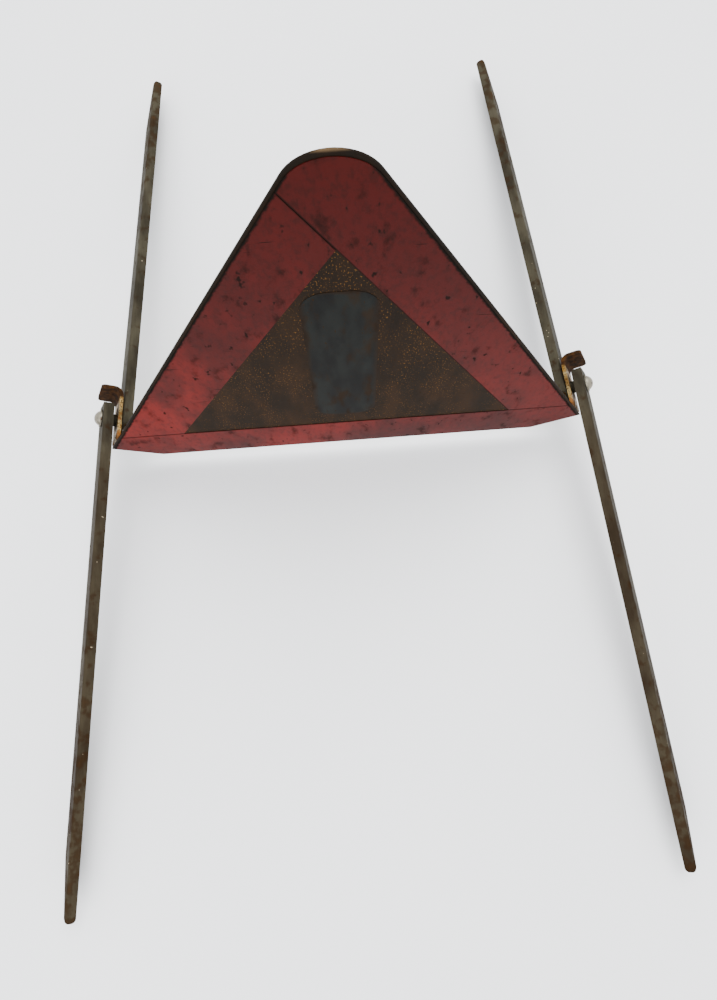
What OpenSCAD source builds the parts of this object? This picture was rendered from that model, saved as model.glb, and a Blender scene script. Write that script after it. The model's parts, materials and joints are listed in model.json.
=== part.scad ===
// Folding warning triangle for a broken-down vehicle.
// A sheet-metal triangle with red reflective strips stands on four legs that fold up along its slanted sides.
// Units are mm. +Z is up and the reflective face looks along -Y.
// The origin is on the floor, midway between the two leg pivots.

/* [Plate] */
// Side of the triangle, measured between its sharp corners
side = 460; // [440:5:480]
// Thickness of the sheet
plate_t = 1.2; // [0.8:0.1:1.6]
// Radius of the rounded top corner
apex_r = 28; // [20:1:34]
// How much of each slanted side the lower corners lose
corner_cut = 26; // [22:1:30]
// Height of the lower edge above the floor
ground_clearance = 18; // [15:1:21]

/* [Reflective strips] */
// Distance from a side of the plate to the inner edge of its strip
strip_w = 50; // [44:1:54]
// Bare metal left outside the slanted strips
border = 2; // [1:0.5:5]
// Thickness of a strip
strip_t = 0.4; // [0.2:0.1:0.6]
// Gap where two strips meet
seam = 0.4; // [0.2:0.1:1]

/* [Centre mark] */
// Width of the upright mark
mark_w = 50; // [40:1:60]
// Height of the mark
mark_h = 190; // [160:2:192]
// Height of its foot above the lower edge of the plate
mark_z = 67; // [52:1:67]
// Radius of its corners
mark_r = 18; // [4:1:22]

/* [Brackets] */
// Width of the bracket strip
bracket_w = 31; // [29:1:34]
// Thickness of the bracket strip
bracket_t = 3; // [2.5:0.5:3.5]
// Depth of the bracket behind the plate's front face, up to the hook
bracket_l = 46; // [44:1:52]
// Length of the hook that turns outward at the back
hook_l = 16; // [10:1:18]
// Inner radius of the hook's bend
hook_bend_r = 5; // [2:0.5:6]
// Radius of the hook's free corners
hook_corner_r = 4; // [2:0.5:6]
// Length of the tab that lies on the back of the plate
tab_l = 27; // [26:1:32]

/* [Legs] */
// Distance from the pivot to the tip
leg_l = 419; // [400:1:419]
// Width of the upright flange
leg_w = 31; // [29:1:32]
// Width of the flange along the ridge
ridge_w = 8.8; // [7:0.1:9]
// Sheet thickness of the legs
leg_t = 2; // [1.5:0.5:2]
// Height of the ridge above the pivot
ridge_z = 14.5; // [13.5:0.5:15]
// Length over which the upright flange tapers to the tip
taper_l = 42; // [30:1:60]
// Length of a front leg's heel behind the pivot
front_heel_l = 13; // [11:0.5:14]
// Radius of the corners of a front leg's heel
front_heel_r = 4; // [2:0.5:6]
// Depth of the worn flat where a leg touches the floor
foot_wear = 1.2; // [1:0.1:2]

/* [Pivots] */
// Lean of the pivot plane, top inward
lean = 27; // [26:0.5:28]
// Angle by which the brackets converge towards the back
toe = 3.2; // [2.5:0.1:3.5]
// Angle by which play in a pivot tips its leg out of the bracket's plane
splay = 1.3; // [0:0.1:1.3]
// Distance from the plate's front face to the pivots
pivot_back = 22; // [21.5:0.5:24]
// Radius of the rivet's shank
rivet_r = 3; // [2.5:0.5:3.5]
// Radius of the rivet's domed head
dome_r = 6.7; // [6:0.1:7.5]
// Height of the domed head
dome_h = 4.6; // [3:0.2:5]
// Length of the spacer between bracket and front leg
spacer_l = 8.8; // [8.6:0.1:10]

/* [Hidden] */
washer_t = 1.2;
washer_r = 8;
spacer_r = 5.5;
tail_r = 5.5;
tail_h = 2.2;
side_gap = 0.5;
running_fit = 0.08;
loose_fit = 0.04;
tab_rivet_r = 2;
tab_rivet_head_r = 3.8;
tab_rivet_head_h = 1.5;
tab_rivet_x = 19;
tab_rivet_z = 8.5;
ridge_bend_r = 3;
tip_r = 3.5;
tip_h = 3;
mark_t = 0.25;

half = side / 2;
height = side * sin(60);
plate_front = -pivot_back;
plate_back = plate_front + plate_t;

// The pivot is in the middle of the bracket, on the outer face that follows the slanted side of the plate
pivot_along_side = corner_cut + bracket_w / 2;
pivot_x = half - pivot_along_side * cos(60);
pivot_z = ground_clearance + pivot_along_side * sin(60);

// Stations along the rivet, counted outward from the bracket's outer face
inner_washer_x = spacer_l;
front_leg_x = inner_washer_x + washer_t + side_gap;
outer_washer_x = front_leg_x + leg_t + side_gap;
dome_x = outer_washer_x + washer_t;
rear_leg_x = -bracket_t - side_gap;
rear_washer_x = rear_leg_x - leg_t - side_gap;
tail_x = rear_washer_x - washer_t;

$fn = 64;

// Angle that drops a leg until its lower corner has worn foot_wear into the floor.
// x is the station of the leg's outer face, turn its angle about the side's direction, way is 1 at the back, -1 in front.
function drop_angle(x, turn, way) =
    let (
        lowest_face_z = pivot_z + x * cos(toe) * sin(lean) - leg_t * cos(turn) * sin(lean),
        along_z = -way * sin(turn) * sin(lean),
        corner_y = leg_l - taper_l,
        corner_z = ridge_z - leg_w,
        fall = cos(lean) * corner_y - along_z * corner_z,
        rise = along_z * corner_y + cos(lean) * corner_z
    )
    atan2(rise, fall) + asin((lowest_face_z + foot_wear) / norm([rise, fall]));

// Outline of the plate, or of the area inside it by the distance inset along the slanted sides.
module sheet_outline(inset, cut) {
    half_base = half - inset / cos(30);
    top = half_base * tan(60);
    difference() {
        union() {
            polygon([
                [-half_base, 0],
                [half_base, 0],
                [apex_r * cos(30), top - 1.5 * apex_r],
                [-apex_r * cos(30), top - 1.5 * apex_r],
            ]);
            translate([0, top - 2 * apex_r])
                circle(apex_r);
        }
        for (s = [0, 1])
            mirror([s, 0])
                translate([half, 0])
                    rotate(120)
                        translate([-side, -side / 2])
                            square([side + cut, side]);
    }
}

// Everything on the right of the strip edge that follows the right slanted side.
module right_of_strip_edge(shift) {
    foot = half - strip_w / cos(30) + shift / cos(30);
    far_z = height + strip_w;
    polygon([
        [foot, 0],
        [side, 0],
        [side, far_z],
        [foot - far_z / tan(60), far_z],
    ]);
}

module above_bottom_strip() {
    translate([-side, strip_w - border + seam])
        square([2 * side, height]);
}

// Raises a flat shape drawn in the plate's plane into a sheet whose back is at y and whose front looks along -Y.
module on_plate(y, thickness) {
    translate([0, y, ground_clearance])
        rotate([90, 0, 0])
            linear_extrude(thickness)
                children();
}

// Places the right-hand side's parts at its pivot: X outward along the rivet, Y back, Z up the side.
module at_right_pivot(turn) {
    translate([pivot_x, 0, pivot_z])
        rotate([0, -lean, 0])
            rotate([0, 0, turn])
                children();
}

// Turns an upright round shape so that it stands along X.
module along_x(x) {
    translate([x, 0, 0])
        rotate([0, 90, 0])
            children();
}

module dome(r, h) {
    sphere_r = (r * r + h * h) / (2 * h);
    rotate_extrude()
        intersection() {
            translate([0, h - sphere_r])
                circle(sphere_r);
            square([r, h]);
        }
}

module sign_plate() {
    color("SaddleBrown")
        difference() {
            on_plate(plate_back, plate_t)
                sheet_outline(0, corner_cut);
            for (s = [0, 1])
                mirror([s, 0, 0])
                    at_tab_rivets(-plate_t - 1)
                        cylinder(r = tab_rivet_r + loose_fit, h = plate_t + 2);
        }
}

module tape_bottom() {
    color("DarkRed")
        on_plate(plate_front, strip_t)
            intersection() {
                sheet_outline(border, corner_cut + 1);
                translate([-side, 0])
                    square([2 * side, strip_w - border]);
            }
}

module tape_right() {
    color("DarkRed")
        on_plate(plate_front, strip_t)
            intersection() {
                sheet_outline(border, corner_cut + 1);
                above_bottom_strip();
                right_of_strip_edge(0);
            }
}

module tape_left() {
    color("DarkRed")
        on_plate(plate_front, strip_t)
            difference() {
                intersection() {
                    sheet_outline(border, corner_cut + 1);
                    above_bottom_strip();
                    mirror([1, 0])
                        right_of_strip_edge(0);
                }
                right_of_strip_edge(-seam);
            }
}

module centre_mark() {
    color("DarkSlateGray")
        on_plate(plate_front, mark_t)
            translate([-mark_w / 2, mark_z])
                union() {
                    translate([mark_r, 0])
                        square([mark_w - 2 * mark_r, mark_h]);
                    translate([0, mark_r])
                        square([mark_w, mark_h - 2 * mark_r]);
                    for (x = [mark_r, mark_w - mark_r], z = [mark_r, mark_h - mark_r])
                        translate([x, z])
                            circle(mark_r);
                }
}

// Places the pair of rivets that hold the right bracket's tab. Z runs back, from the back of the plate.
module at_tab_rivets(z) {
    for (up = [-1, 1])
        translate([pivot_x, plate_back, pivot_z])
            rotate([0, -lean, 0])
                translate([-tab_rivet_x, 0, up * tab_rivet_z])
                    rotate([-90, 0, 0])
                        translate([0, 0, z])
                            children();
}

// A point given along and across the bracket strip, turned by the toe angle into the plate's directions.
function toed(x, y) = [x * cos(toe) - y * sin(toe), x * sin(toe) + y * cos(toe)];

// What a bend of outer radius r about the origin leaves off a sharp corner, between two directions.
module bend_waste(r, from, to) {
    middle = (from + to) / 2;
    reach = 2 * r;
    difference() {
        polygon([
            [0, 0],
            reach * [cos(from), sin(from)],
            2 * reach * [cos(middle), sin(middle)],
            reach * [cos(to), sin(to)],
        ]);
        circle(r);
    }
}

// What fills the inside of the hook's bend, lapped into the metal on both sides.
module hook_fillet() {
    lap = bracket_t / 2;
    difference() {
        translate([-hook_bend_r - lap, 0])
            square(hook_bend_r + lap);
        circle(hook_bend_r);
    }
}

// The bracket seen along its bends: a tab on the back of the plate, the strip and the hook that turns outward.
module bracket_profile() {
    tab_back = plate_back + bracket_t;
    hook_y = bracket_l - pivot_back;
    tab_corner = toed(-bracket_t, (tab_back + bracket_t * sin(toe)) / cos(toe));
    difference() {
        union() {
            polygon([
                [-tab_l, plate_back],
                toed(0, plate_back / cos(toe)),
                toed(0, hook_y),
                toed(hook_l, hook_y),
                toed(hook_l, hook_y + bracket_t),
                toed(-bracket_t, hook_y + bracket_t),
                tab_corner,
                [-tab_l, tab_back],
            ]);
            translate(toed(hook_bend_r, hook_y - hook_bend_r))
                rotate(toe)
                    hook_fillet();
        }
        translate(tab_corner)
            bend_waste(bracket_t, -90, toe);
        translate(toed(hook_bend_r, hook_y - hook_bend_r))
            bend_waste(hook_bend_r + bracket_t, toe + 90, toe + 180);
    }
}

// The sharp upper and lower corners at the free end of the hook.
module hook_corner_waste() {
    for (up = [0, 1])
        mirror([0, 0, up])
            translate([hook_l - hook_corner_r, bracket_l, bracket_w / 2 - hook_corner_r])
                rotate([90, 0, 0])
                    linear_extrude(bracket_l)
                        corner_waste(hook_corner_r);
}

module bracket_right() {
    color("DarkKhaki")
        difference() {
            at_right_pivot(0)
                translate([0, 0, -bracket_w / 2])
                    linear_extrude(bracket_w)
                        bracket_profile();
            at_right_pivot(toe) {
                hook_corner_waste();
                along_x(-bracket_t - 1)
                    cylinder(r = rivet_r + loose_fit, h = bracket_t + 2);
            }
            at_tab_rivets(-1)
                cylinder(r = tab_rivet_r + loose_fit, h = bracket_t + 2);
        }
}

module bracket_rivets_right() {
    color("Silver")
        at_tab_rivets(-plate_t) {
            cylinder(r = tab_rivet_r, h = plate_t + bracket_t);
            translate([0, 0, plate_t + bracket_t])
                dome(tab_rivet_head_r, tab_rivet_head_h);
        }
}

module pivot_rivet_right() {
    color("Silver")
        at_right_pivot(toe) {
            along_x(tail_x - tail_h)
                cylinder(r = tail_r, h = tail_h);
            along_x(tail_x)
                cylinder(r = rivet_r, h = dome_x - tail_x);
            along_x(dome_x)
                dome(dome_r, dome_h);
        }
}

module rivet_ring(x, outer_r, length) {
    at_right_pivot(toe)
        along_x(x)
            difference() {
                cylinder(r = outer_r, h = length);
                translate([0, 0, -1])
                    cylinder(r = rivet_r + loose_fit, h = length + 2);
            }
}

module spacer_right() {
    color("Gray")
        rivet_ring(0, spacer_r, spacer_l);
}

module inner_washer_right() {
    color("LightGray")
        rivet_ring(inner_washer_x, washer_r, washer_t);
}

module outer_washer_right() {
    color("LightGray")
        rivet_ring(outer_washer_x, washer_r, washer_t);
}

module rear_washer_right() {
    color("LightGray")
        rivet_ring(tail_x, washer_r, washer_t);
}

// The area under a leg's ridge, down to its lower edge, with the ridge itself rounded.
module under_ridge(r) {
    translate([-ridge_w, -leg_w])
        square([ridge_w, leg_w - r]);
    translate([-ridge_w, -leg_w])
        square([ridge_w - r, leg_w]);
    translate([-r, -r])
        circle(r);
}

// Cross-section of a leg: the upright flange on the outside and the narrow flange along the ridge.
module leg_section() {
    translate([0, ridge_z])
        difference() {
            under_ridge(ridge_bend_r);
            translate([-leg_t, -leg_t])
                under_ridge(ridge_bend_r - leg_t);
        }
}

// What a round corner about the origin leaves off a sharp one, up and to the right.
module corner_waste(r) {
    difference() {
        square(r + 1);
        circle(r);
    }
}

// Side view of a leg, with the pivot at the origin, a heel behind it and the tip at leg_l.
module leg_side(heel_l, heel_r) {
    foot_z = ridge_z - leg_w;
    difference() {
        polygon([
            [-heel_l, ridge_z],
            [leg_l, ridge_z],
            [leg_l, ridge_z - tip_h],
            [leg_l - taper_l, foot_z],
            [-heel_l, foot_z],
        ]);
        translate([heel_r - heel_l, ridge_z - heel_r])
            rotate(90)
                corner_waste(heel_r);
        translate([heel_r - heel_l, foot_z + heel_r])
            rotate(180)
                corner_waste(heel_r);
    }
}

// Top view of a leg, with the corners of both ends rounded.
module leg_top(heel_l) {
    difference() {
        translate([-ridge_w, -heel_l])
            square([ridge_w, heel_l + leg_l]);
        translate([-tip_r, leg_l - tip_r])
            corner_waste(tip_r);
        translate([tip_r - ridge_w, leg_l - tip_r])
            rotate(90)
                corner_waste(tip_r);
        translate([tip_r - ridge_w, tip_r - heel_l])
            rotate(180)
                corner_waste(tip_r);
    }
}

// A leg along +Y with its pivot on the X axis and its outer face at x = 0.
module leg_blank(heel_l, heel_r) {
    difference() {
        intersection() {
            translate([0, leg_l + 1, 0])
                rotate([90, 0, 0])
                    linear_extrude(leg_l + leg_w)
                        leg_section();
            rotate([90, 0, 90])
                translate([0, 0, -ridge_w - 1])
                    linear_extrude(ridge_w + 2)
                        leg_side(heel_l, heel_r);
            translate([0, 0, -leg_w])
                linear_extrude(2 * leg_w)
                    leg_top(heel_l);
        }
        along_x(-leg_t - 1)
            cylinder(r = rivet_r + running_fit, h = leg_t + 2);
    }
}

// Stands a leg in its place and cuts it off at the floor.
module placed_leg(x, turn, way, heel_l, heel_r) {
    difference() {
        at_right_pivot(toe)
            translate([x, 0, 0])
                rotate([0, 0, turn - toe])
                    mirror([0, way < 0 ? 1 : 0, 0])
                        rotate([-drop_angle(x, turn, way), 0, 0])
                            leg_blank(heel_l, heel_r);
        translate([-side, -2 * leg_l, -leg_w])
            cube([2 * side, 4 * leg_l, leg_w]);
    }
}

module leg_front_right() {
    color("Gainsboro")
        placed_leg(front_leg_x + leg_t, toe - splay, -1, front_heel_l, front_heel_r);
}

module leg_rear_right() {
    color("Gainsboro")
        placed_leg(rear_leg_x, toe + splay, 1, leg_w / 2, leg_w / 2);
}

module left() {
    mirror([1, 0, 0])
        children();
}

sign_plate();
tape_left();
tape_right();
tape_bottom();
centre_mark();
left() bracket_right();  // bracket_left
bracket_right();
left() bracket_rivets_right();  // bracket_rivets_left
bracket_rivets_right();
left() pivot_rivet_right();  // pivot_rivet_left
pivot_rivet_right();
left() spacer_right();  // spacer_left
spacer_right();
left() outer_washer_right();  // outer_washer_left
outer_washer_right();
left() inner_washer_right();  // inner_washer_left
inner_washer_right();
left() rear_washer_right();  // rear_washer_left
rear_washer_right();
left() leg_front_right();  // leg_front_left
leg_front_right();
left() leg_rear_right();  // leg_rear_left
leg_rear_right();
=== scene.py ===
"""Looks of the folding warning triangle: worn materials, floor, light and camera around the CAD frame."""

import json
import math

import bpy
from mathutils import Matrix, Vector


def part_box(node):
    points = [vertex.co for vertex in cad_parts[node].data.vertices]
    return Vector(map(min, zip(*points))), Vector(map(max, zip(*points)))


MM = 0.001

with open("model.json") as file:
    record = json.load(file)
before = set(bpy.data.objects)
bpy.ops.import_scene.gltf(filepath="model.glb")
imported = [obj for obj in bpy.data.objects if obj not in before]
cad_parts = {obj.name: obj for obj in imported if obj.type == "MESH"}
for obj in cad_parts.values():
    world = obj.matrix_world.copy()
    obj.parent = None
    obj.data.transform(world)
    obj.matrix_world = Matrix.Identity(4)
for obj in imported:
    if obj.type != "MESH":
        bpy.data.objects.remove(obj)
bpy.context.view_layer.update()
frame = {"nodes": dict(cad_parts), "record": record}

# ---------------------------------------------------------------- places read from the frame

plate_low, plate_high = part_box("sign_plate")
plate_foot = plate_low.z
plate_height = plate_high.z - plate_low.z
bottom_strip_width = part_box("tape_bottom")[1].z - plate_foot
border = (plate_high.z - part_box("tape_right")[1].z) / 2
leg_reach = -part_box("leg_front_right")[0].y

# Side of the plate between its sharp corners, and the angle between a slanted side and upright
SIDE = 460 * MM
SLANT = math.radians(30)


# ---------------------------------------------------------------- helpers for materials


class Shader:
    """A node material under construction. Its methods return output sockets, so calls can be nested."""

    def __init__(self, name):
        self.material = bpy.data.materials.new(name)
        self.material.use_nodes = True
        self.tree = self.material.node_tree
        self.bsdf = self.tree.nodes["Principled BSDF"]
        self.place = self.tree.nodes.new("ShaderNodeTexCoord").outputs["Object"]

    def node(self, kind, **settings):
        """A new node of this kind with its properties set."""
        made = self.tree.nodes.new(kind)
        for key, value in settings.items():
            setattr(made, key, value)
        return made

    def feed(self, socket, value):
        """Links an output into the socket, or sets the socket to a plain number or colour."""
        if isinstance(value, bpy.types.NodeSocket):
            self.tree.links.new(value, socket)
        elif isinstance(value, (tuple, list)) and len(socket.default_value) == 4:
            socket.default_value = (*value[:3], 1)
        else:
            socket.default_value = value

    def math(self, operation, a, b=0.0, clamp=False):
        made = self.node("ShaderNodeMath", operation=operation, use_clamp=clamp)
        self.feed(made.inputs[0], a)
        self.feed(made.inputs[1], b)
        return made.outputs[0]

    def axis(self, letter):
        made = self.node("ShaderNodeSeparateXYZ")
        self.feed(made.inputs[0], self.place)
        return made.outputs[letter]

    def stretched(self, factors, turn=(0, 0, 0)):
        """The place, scaled along each axis: a factor under 1 draws a pattern out along that axis."""
        made = self.node("ShaderNodeMapping")
        self.feed(made.inputs["Vector"], self.place)
        made.inputs["Scale"].default_value = factors
        made.inputs["Rotation"].default_value = turn
        return made.outputs[0]

    def noise(self, size, detail=4.0, roughness=0.55, where=None, distortion=0.0):
        """Noise between 0 and 1 whose blotches are about size across, in metres."""
        made = self.node("ShaderNodeTexNoise")
        self.feed(made.inputs["Vector"], where or self.place)
        made.inputs["Scale"].default_value = 1 / size
        made.inputs["Detail"].default_value = detail
        made.inputs["Roughness"].default_value = roughness
        made.inputs["Distortion"].default_value = distortion
        return made.outputs["Fac"]

    def step(self, value, low, high):
        """0 below low, 1 above high and smooth between; low above high turns it round."""
        made = self.node("ShaderNodeMapRange", interpolation_type="SMOOTHSTEP")
        self.feed(made.inputs["Value"], value)
        made.inputs["From Min"].default_value = min(low, high)
        made.inputs["From Max"].default_value = max(low, high)
        made.inputs["To Min"].default_value = 0.0 if low < high else 1.0
        made.inputs["To Max"].default_value = 1.0 if low < high else 0.0
        return made.outputs[0]

    def mix(self, share, a, b):
        """A colour that goes from a to b as share goes from 0 to 1."""
        made = self.node("ShaderNodeMix", data_type="RGBA")
        self.feed(made.inputs["Factor"], share)
        self.feed(made.inputs["A"], a)
        self.feed(made.inputs["B"], b)
        return made.outputs["Result"]

    def blend(self, share, a, b):
        """The same for plain numbers."""
        made = self.node("ShaderNodeMix", data_type="FLOAT")
        self.feed(made.inputs["Factor"], share)
        self.feed(made.inputs["A"], a)
        self.feed(made.inputs["B"], b)
        return made.outputs["Result"]

    def most(self, *values):
        """The highest of the values."""
        highest = values[0]
        for value in values[1:]:
            highest = self.math("MAXIMUM", highest, value)
        return highest

    def finish(self, color, roughness, metallic=0.0, height=None, depth=0.1 * MM, specular=0.5):
        """Wires the surface up and returns the material; height is bumped by depth, in metres."""
        self.bsdf.inputs["Specular IOR Level"].default_value = specular
        self.feed(self.bsdf.inputs["Base Color"], color)
        self.feed(self.bsdf.inputs["Roughness"], roughness)
        self.feed(self.bsdf.inputs["Metallic"], metallic)
        if height is not None:
            bump = self.node("ShaderNodeBump")
            bump.inputs["Strength"].default_value = 0.8
            bump.inputs["Distance"].default_value = depth
            self.feed(bump.inputs["Height"], height)
            self.feed(self.bsdf.inputs["Normal"], bump.outputs[0])
        return self.material


def srgb(red, green, blue):
    """A colour given as 0 to 255 on a screen, as the linear light that a shader works with."""
    linear = []
    for level in (red, green, blue):
        if level < 11:
            linear.append(level / 255 / 12.92)
        else:
            linear.append(((level / 255 + 0.055) / 1.055) ** 2.4)
    return tuple(linear)


# ---------------------------------------------------------------- colours

RUST_DARK = srgb(36, 21, 8)
RUST_BROWN = srgb(62, 37, 14)
RUST_BRIGHT = srgb(104, 58, 22)
# Grime, also used as painted shade toward the top of the plate and round the pivot.
GRIME_AND_SHADE = srgb(12, 9, 6)
PLATE_BROWN = srgb(39, 24, 9)
PLATE_DARK = srgb(24, 15, 6)
GOLD_SPECK = srgb(88, 60, 26)
WORN_EDGE = srgb(100, 80, 56)
FILM_RED = srgb(100, 21, 16)
FILM_DEEP = srgb(56, 12, 9)
MARK_GREY = srgb(20, 22, 20)
MARK_DARK = srgb(11, 11, 10)
ZINC = srgb(124, 118, 104)
BRACKET_PALE = srgb(132, 114, 76)
BRACKET_GOLD = srgb(112, 80, 32)
STEEL_OLIVE = srgb(64, 60, 48)
STEEL_DARK = srgb(40, 36, 28)
SCUFF = srgb(150, 138, 118)
FLOOR_COOL = srgb(238, 240, 243)
FLOOR_WARM = srgb(246, 246, 246)


# ---------------------------------------------------------------- materials


def distance_inside(shader, across):
    """Distance inward, in metres, from the slanted side toward which across grows."""
    level = shader.math("MULTIPLY", shader.math("SUBTRACT", SIDE / 2, across), math.cos(SLANT))
    above_foot = shader.math("SUBTRACT", shader.axis("Z"), plate_foot)
    return shader.math("SUBTRACT", level, shader.math("MULTIPLY", above_foot, math.sin(SLANT)))


def edge_distance(shader):
    """Distance from the nearer slanted side of the plate or from its top, in metres."""
    from_side = distance_inside(shader, shader.math("ABSOLUTE", shader.axis("X")))
    from_top = shader.math("SUBTRACT", plate_high.z, shader.axis("Z"))
    return shader.math("MINIMUM", from_side, from_top)


def seam_distance(shader):
    """Distance from where two strips of film meet, in metres.

    They meet along the bottom strip's top and, above it, along the right strip's inner edge.
    """
    inward = distance_inside(shader, shader.axis("X"))
    from_right_strip = shader.math("ABSOLUTE", shader.math("SUBTRACT", inward, bottom_strip_width + border))
    above_bottom_strip = shader.math("SUBTRACT", shader.axis("Z"), plate_foot + bottom_strip_width)
    below_top = shader.math("MULTIPLY", above_bottom_strip, -1)
    slanted = shader.math("MAXIMUM", from_right_strip, below_top)
    return shader.math("MINIMUM", slanted, shader.math("ABSOLUTE", above_bottom_strip))


def height_share(shader):
    """0 at the foot of the plate and 1 at its top."""
    return shader.math("DIVIDE", shader.math("SUBTRACT", shader.axis("Z"), plate_foot), plate_height)


def plate_material():
    """Brown paint with fine golden specks, most of them near the top, painted shade that darkens it toward
    the top, a grimy rim and a worn top edge.
    """
    shader = Shader("plate_paint")
    from_edge = edge_distance(shader)
    run_down = shader.stretched((1, 1, 0.35))
    clouds = shader.noise(22 * MM, where=run_down)
    color = shader.mix(shader.step(clouds, 0.35, 0.65), PLATE_DARK, PLATE_BROWN)
    grain = shader.noise(1.1 * MM, detail=2, where=shader.stretched((1, 1, 0.5)))
    high = height_share(shader)
    thinning = shader.math("MULTIPLY", high, 0.015)
    inside = shader.step(from_edge, 6 * MM, 9 * MM)
    rubbed = shader.step(shader.math("ADD", grain, thinning), 0.58, 0.7)
    specks = shader.math("MULTIPLY", rubbed, inside)
    patches = shader.step(shader.noise(14 * MM, where=run_down), 0.3, 0.6)
    # Painted shade: the plate is darkened toward its top.
    color = shader.mix(shader.math("MULTIPLY", high, 0.7), color, GRIME_AND_SHADE)
    color = shader.mix(shader.math("MULTIPLY", specks, patches), color, GOLD_SPECK)
    wobble = shader.math("MULTIPLY", shader.noise(5 * MM), 5 * MM)
    rim = shader.step(shader.math("ADD", from_edge, wobble), 5 * MM, 2.5 * MM)
    color = shader.mix(shader.math("MULTIPLY", rim, 0.4), color, GRIME_AND_SHADE)
    top_edge = shader.step(shader.axis("Z"), plate_high.z - 2 * MM, plate_high.z)
    color = shader.mix(shader.math("MULTIPLY", top_edge, clouds), color, WORN_EDGE)
    roughness = shader.blend(specks, 0.62, 0.8)
    height = shader.math("ADD", shader.math("MULTIPLY", grain, 0.5), clouds)
    return shader.finish(color, roughness, height=height, depth=0.15 * MM, specular=0.04)


def film_material():
    """Red reflective film with painted shade that darkens it toward the top and toward the right, and with
    smudges, spots, scratches and a frayed edge.
    """
    shader = Shader("red_film")
    from_edge = edge_distance(shader)
    run_down = shader.stretched((1, 1, 0.5))
    clouds = shader.noise(45 * MM, detail=3, where=run_down)
    color = shader.mix(shader.step(clouds, 0.35, 0.7), FILM_RED, FILM_DEEP)
    # Painted shade: the film is darkened toward its top and toward its right side.
    high = shader.step(height_share(shader), 0.15, 1.0)
    right = shader.step(shader.axis("X"), -0.3 * SIDE, 0.4 * SIDE)
    painted_shade_above = shader.math("MULTIPLY", high, 0.85)
    painted_shade_right = shader.math("MULTIPLY", right, 0.55)
    painted_shade = shader.math("ADD", painted_shade_above, painted_shade_right, clamp=True)
    color = shader.mix(painted_shade, color, FILM_DEEP)
    mottle = shader.step(shader.noise(3 * MM, detail=3, where=run_down), 0.4, 0.75)
    color = shader.mix(shader.math("MULTIPLY", mottle, 0.35), color, GRIME_AND_SHADE)
    smudges = shader.step(shader.noise(11 * MM, detail=5, where=run_down), 0.54, 0.74)
    spots = shader.step(shader.noise(6 * MM, detail=2, where=run_down), 0.66, 0.74)
    scratch_place = shader.stretched((0.08, 1, 1.2), turn=(0, math.radians(55), 0))
    scratches = shader.step(shader.noise(2.2 * MM, detail=1, where=scratch_place), 0.74, 0.8)
    wobble = shader.math("MULTIPLY", shader.noise(4 * MM, detail=5), 3.5 * MM)
    frayed = shader.step(shader.math("SUBTRACT", from_edge, wobble), 2.5 * MM, 0.5 * MM)
    seam = shader.math("MULTIPLY", shader.step(seam_distance(shader), 1.3 * MM, 0.3 * MM), 0.8)
    smudged = shader.math("MULTIPLY", smudges, 0.65)
    spotted = shader.math("MULTIPLY", spots, 0.85)
    dirt = shader.most(smudged, spotted, scratches, frayed, seam)
    color = shader.mix(dirt, color, GRIME_AND_SHADE)
    beads = shader.noise(0.6 * MM, detail=1)
    roughness = shader.blend(dirt, 0.42, 0.75)
    height = shader.math("ADD", shader.math("MULTIPLY", beads, 0.3), shader.math("MULTIPLY", dirt, -0.6))
    return shader.finish(color, roughness, height=height, depth=0.08 * MM, specular=0.03)


def mark_edge_distance(shader):
    """Distance from the nearest side or end of the centre mark, in metres."""
    low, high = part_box("centre_mark")
    from_side = shader.math("SUBTRACT", high.x, shader.math("ABSOLUTE", shader.axis("X")))
    from_foot = shader.math("SUBTRACT", shader.axis("Z"), low.z)
    from_top = shader.math("SUBTRACT", high.z, shader.axis("Z"))
    return shader.math("MINIMUM", from_side, shader.math("MINIMUM", from_foot, from_top))


def mark_material():
    """Dull blue-grey paint, worn thin to the brown along its outline and in upright patches."""
    shader = Shader("mark_paint")
    run_down = shader.stretched((1, 1, 0.3))
    clouds = shader.noise(12 * MM, detail=5, where=run_down)
    color = shader.mix(shader.step(clouds, 0.35, 0.65), MARK_DARK, MARK_GREY)
    grain = shader.noise(1.5 * MM, detail=2, where=run_down)
    thin = shader.step(shader.noise(9 * MM, detail=4, where=run_down), 0.5, 0.72)
    worn = shader.most(shader.math("MULTIPLY", thin, 0.6), shader.step(grain, 0.66, 0.74))
    color = shader.mix(worn, color, PLATE_BROWN)
    ragged = shader.math("SUBTRACT", mark_edge_distance(shader), shader.math("MULTIPLY", clouds, 5 * MM))
    color = shader.mix(shader.step(ragged, 1.5 * MM, -2.5 * MM), color, PLATE_DARK)
    return shader.finish(color, shader.blend(worn, 0.5, 0.75), height=clouds, depth=0.08 * MM, specular=0.03)


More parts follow.
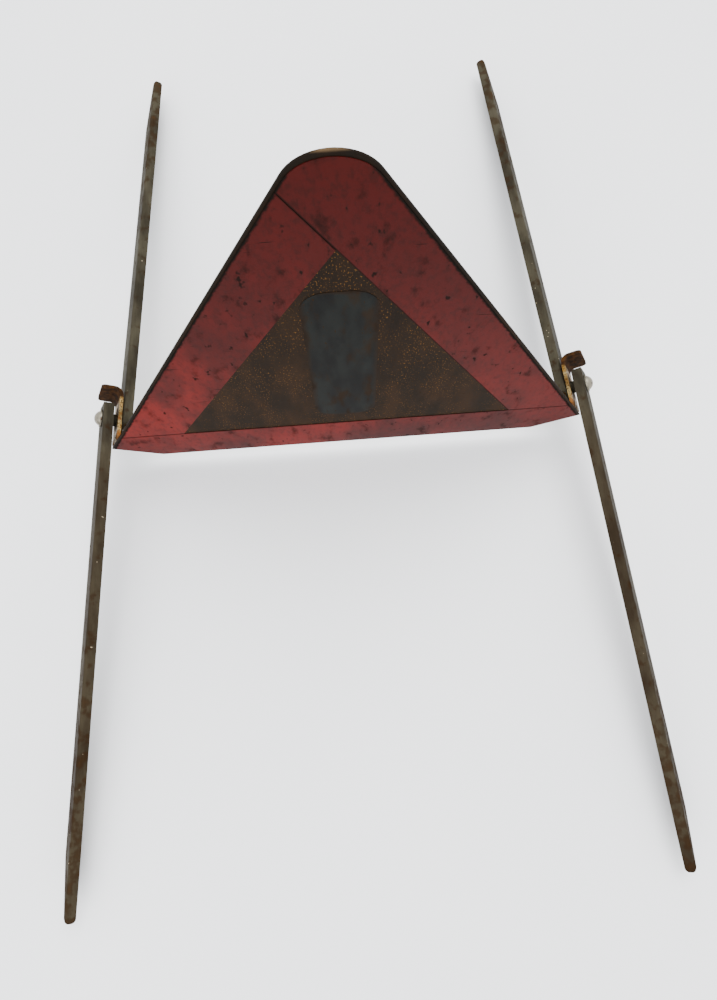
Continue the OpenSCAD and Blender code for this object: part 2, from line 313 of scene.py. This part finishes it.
def leg_material():
    """Zinc gone quite dull, drawn out along the leg, with rust that thickens toward the tip, and darker on
    the front legs.
    """
    shader = Shader("leg_zinc")
    along = shader.math("DIVIDE", shader.math("ABSOLUTE", shader.axis("Y")), leg_reach)
    drawn = shader.stretched((1, 0.08, 1))
    lines = shader.noise(1.2 * MM, detail=3, where=drawn)
    clouds = shader.noise(22 * MM, detail=5, where=shader.stretched((1, 0.4, 1)))
    color = shader.mix(shader.step(clouds, 0.35, 0.65), STEEL_DARK, STEEL_OLIVE)
    color = shader.mix(shader.math("MULTIPLY", lines, 0.35), color, GRIME_AND_SHADE)
    toward_tip = shader.step(along, 0.2, 1.05)
    rustier = shader.math("MULTIPLY", toward_tip, 0.16)
    rust_field = shader.math("ADD", shader.noise(9 * MM, detail=6), rustier)
    rust = shader.step(rust_field, 0.56, 0.7)
    color = shader.mix(shader.math("MULTIPLY", rust, 0.6), color, RUST_DARK)
    heart = shader.math("MULTIPLY", shader.step(rust_field, 0.7, 0.9), 0.4)
    color = shader.mix(heart, color, RUST_BROWN)
    # The front legs are drawn darker overall.
    front = shader.step(shader.axis("Y"), 0.0, -60 * MM)
    color = shader.mix(shader.math("MULTIPLY", front, 0.35), color, RUST_DARK)
    scuffs = shader.step(shader.noise(4 * MM, detail=1), 0.77, 0.81)
    color = shader.mix(scuffs, color, SCUFF)
    roughness = shader.blend(rust, shader.blend(lines, 0.5, 0.7), 0.85)
    height = shader.math("ADD", shader.math("MULTIPLY", lines, 0.3), shader.math("MULTIPLY", rust, 0.7))
    return shader.finish(color, roughness, height=height, depth=0.12 * MM, specular=0.02)


def pivot_distance(shader):
    """Distance from the pivot, measured along the bracket's side faces, in metres."""
    spacer_low, spacer_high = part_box("spacer_right")
    above = shader.math("SUBTRACT", shader.axis("Z"), (spacer_low.z + spacer_high.z) / 2)
    behind = shader.math("SUBTRACT", shader.axis("Y"), (spacer_low.y + spacer_high.y) / 2)
    squares = shader.math("ADD", shader.math("POWER", above, 2.0), shader.math("POWER", behind, 2.0))
    return shader.math("SQRT", squares)


def bracket_material():
    """Yellowed, pitted zinc with a rust-brown hook, an orange root and painted shade round the pivot."""
    shader = Shader("bracket_zinc")
    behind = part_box("bracket_right")[1].y
    hook = shader.step(shader.axis("Y"), behind - 15 * MM, behind - 6 * MM)
    root = shader.step(shader.axis("Y"), plate_high.y + 14 * MM, plate_high.y)
    clouds = shader.noise(7 * MM, detail=5)
    color = shader.mix(shader.step(clouds, 0.35, 0.65), BRACKET_GOLD, BRACKET_PALE)
    pits = shader.step(shader.noise(1.4 * MM, detail=3), 0.5, 0.62)
    color = shader.mix(shader.math("MULTIPLY", pits, 0.85), color, RUST_DARK)
    patches = shader.noise(6 * MM, detail=6)
    rusty_root = shader.math("ADD", patches, shader.math("MULTIPLY", root, 0.2))
    orange = shader.step(rusty_root, 0.58, 0.72)
    color = shader.mix(shader.math("MULTIPLY", orange, 0.75), color, RUST_BRIGHT)
    brown = shader.step(shader.math("ADD", patches, hook), 0.7, 1.1)
    hook_brown = shader.mix(shader.step(patches, 0.42, 0.66), RUST_DARK, RUST_BROWN)
    color = shader.mix(brown, color, hook_brown)
    # Painted shade: the bracket is darkened round the pivot, between it and the leg heels.
    pivot_shade = shader.step(pivot_distance(shader), 15 * MM, 8 * MM)
    color = shader.mix(shader.math("MULTIPLY", pivot_shade, 0.7), color, GRIME_AND_SHADE)
    rusty = shader.most(orange, brown, pits, pivot_shade)
    roughness = shader.blend(rusty, 0.4, 0.85)
    height = shader.math("ADD", patches, shader.math("MULTIPLY", pits, -0.4))
    metallic = shader.blend(rusty, 0.7, 0.0)
    return shader.finish(color, roughness, metallic, height, 0.2 * MM, specular=0.06)


def hardware_material():
    """Brighter zinc of rivets and washers, clouded, with small spots of rust."""
    shader = Shader("hardware_zinc")
    clouds = shader.noise(4 * MM, detail=5)
    color = shader.mix(shader.step(clouds, 0.52, 0.72), ZINC, STEEL_DARK)
    spots = shader.step(shader.noise(2.5 * MM, detail=4), 0.64, 0.74)
    color = shader.mix(spots, color, RUST_BRIGHT)
    roughness = shader.blend(spots, shader.blend(clouds, 0.3, 0.5), 0.8)
    metallic = shader.blend(spots, 0.8, 0.1)
    return shader.finish(color, roughness, metallic, clouds, 0.06 * MM)


MATERIAL_OF_SLOT = {
    "rusty_plate": plate_material(),
    "red_tape": film_material(),
    "grey_mark": mark_material(),
    "zinc_leg": leg_material(),
    "zinc_bracket": bracket_material(),
    "zinc_rivet": hardware_material(),
}
MATERIAL_OF_SLOT["zinc_spacer"] = MATERIAL_OF_SLOT["zinc_leg"]
MATERIAL_OF_SLOT["zinc_washer"] = MATERIAL_OF_SLOT["zinc_rivet"]

BEVEL_OF_SLOT = {
    "rusty_plate": 0.25 * MM,
    "zinc_leg": 0.4 * MM,
    "zinc_bracket": 0.5 * MM,
    "zinc_washer": 0.2 * MM,
}


def dress_cad_nodes():
    """Gives every CAD node its material, and the sheet parts a small bevel on their sharp edges."""
    for entry in frame["record"]["subparts"]:
        piece = frame["nodes"][entry["node"]]
        slot = entry["material_slot"]
        for index in range(len(piece.material_slots)):
            piece.material_slots[index].material = MATERIAL_OF_SLOT[slot]
        if slot in BEVEL_OF_SLOT:
            bevel = piece.modifiers.new("edge", "BEVEL")
            bevel.width = BEVEL_OF_SLOT[slot]
            bevel.segments = 2
            bevel.limit_method = "ANGLE"
            bevel.angle_limit = math.radians(35)


# ---------------------------------------------------------------- floor, light and camera


def make_floor():
    """A plain pale floor, 12 m on a side."""
    half = 6.0
    corners = [(-half, -half, 0), (half, -half, 0), (half, half, 0), (-half, half, 0)]
    mesh = bpy.data.meshes.new("floor")
    mesh.from_pydata(corners, [], [(0, 1, 2, 3)])
    floor = bpy.data.objects.new("floor", mesh)
    bpy.context.scene.collection.objects.link(floor)
    shader = Shader("floor_paint")
    clouds = shader.noise(0.2, detail=3)
    color = shader.mix(clouds, FLOOR_COOL, FLOOR_WARM)
    floor.data.materials.append(shader.finish(color, 0.5))


def soft_light(name, place, aim, size, power):
    """A round area light of this size and power that looks from place at aim."""
    data = bpy.data.lights.new(name, "AREA")
    data.shape = "DISK"
    data.size = size
    data.energy = power
    lamp = bpy.data.objects.new(name, data)
    bpy.context.scene.collection.objects.link(lamp)
    lamp.location = place
    lamp.rotation_euler = (Vector(aim) - Vector(place)).to_track_quat("-Z", "Y").to_euler()


def make_light():
    """Even light from all round, with one soft light from above and one from the front left."""
    world = bpy.data.worlds.new("studio")
    world.use_nodes = True
    world.node_tree.nodes["Background"].inputs["Color"].default_value = (0.97, 0.98, 1.0, 1)
    world.node_tree.nodes["Background"].inputs["Strength"].default_value = 2.2
    bpy.context.scene.world = world
    soft_light("overhead", (0.3, 0.6, 2.2), (0, 0, 0), 1.8, 60)
    soft_light("front", (-0.9, -1.6, 1.4), (0, 0, 0.1), 1.4, 24)


def make_camera():
    """Looks down on the face from above and in front, as a hand-held camera would."""
    place = Vector((-0.0034, -0.2525, 0.6430))
    focal_share = 0.6932
    down, heading, roll = (math.radians(a) for a in (74.724, 3.110, 1.284))
    level_part = math.cos(down)
    forward = Vector((math.sin(heading) * level_part, math.cos(heading) * level_part, -math.sin(down)))
    level = forward.cross(Vector((0, 0, 1))).normalized()
    right = Matrix.Rotation(roll, 3, forward) @ level
    up = right.cross(forward)
    data = bpy.data.cameras.new("camera")
    data.sensor_fit = "VERTICAL"
    data.sensor_height = 36
    data.lens = focal_share * data.sensor_height
    camera = bpy.data.objects.new("camera", data)
    bpy.context.scene.collection.objects.link(camera)
    axes = Matrix((right, up, -forward)).transposed().to_4x4()
    camera.matrix_world = Matrix.Translation(place) @ axes
    bpy.context.scene.camera = camera


dress_cad_nodes()
make_floor()
make_light()
make_camera()
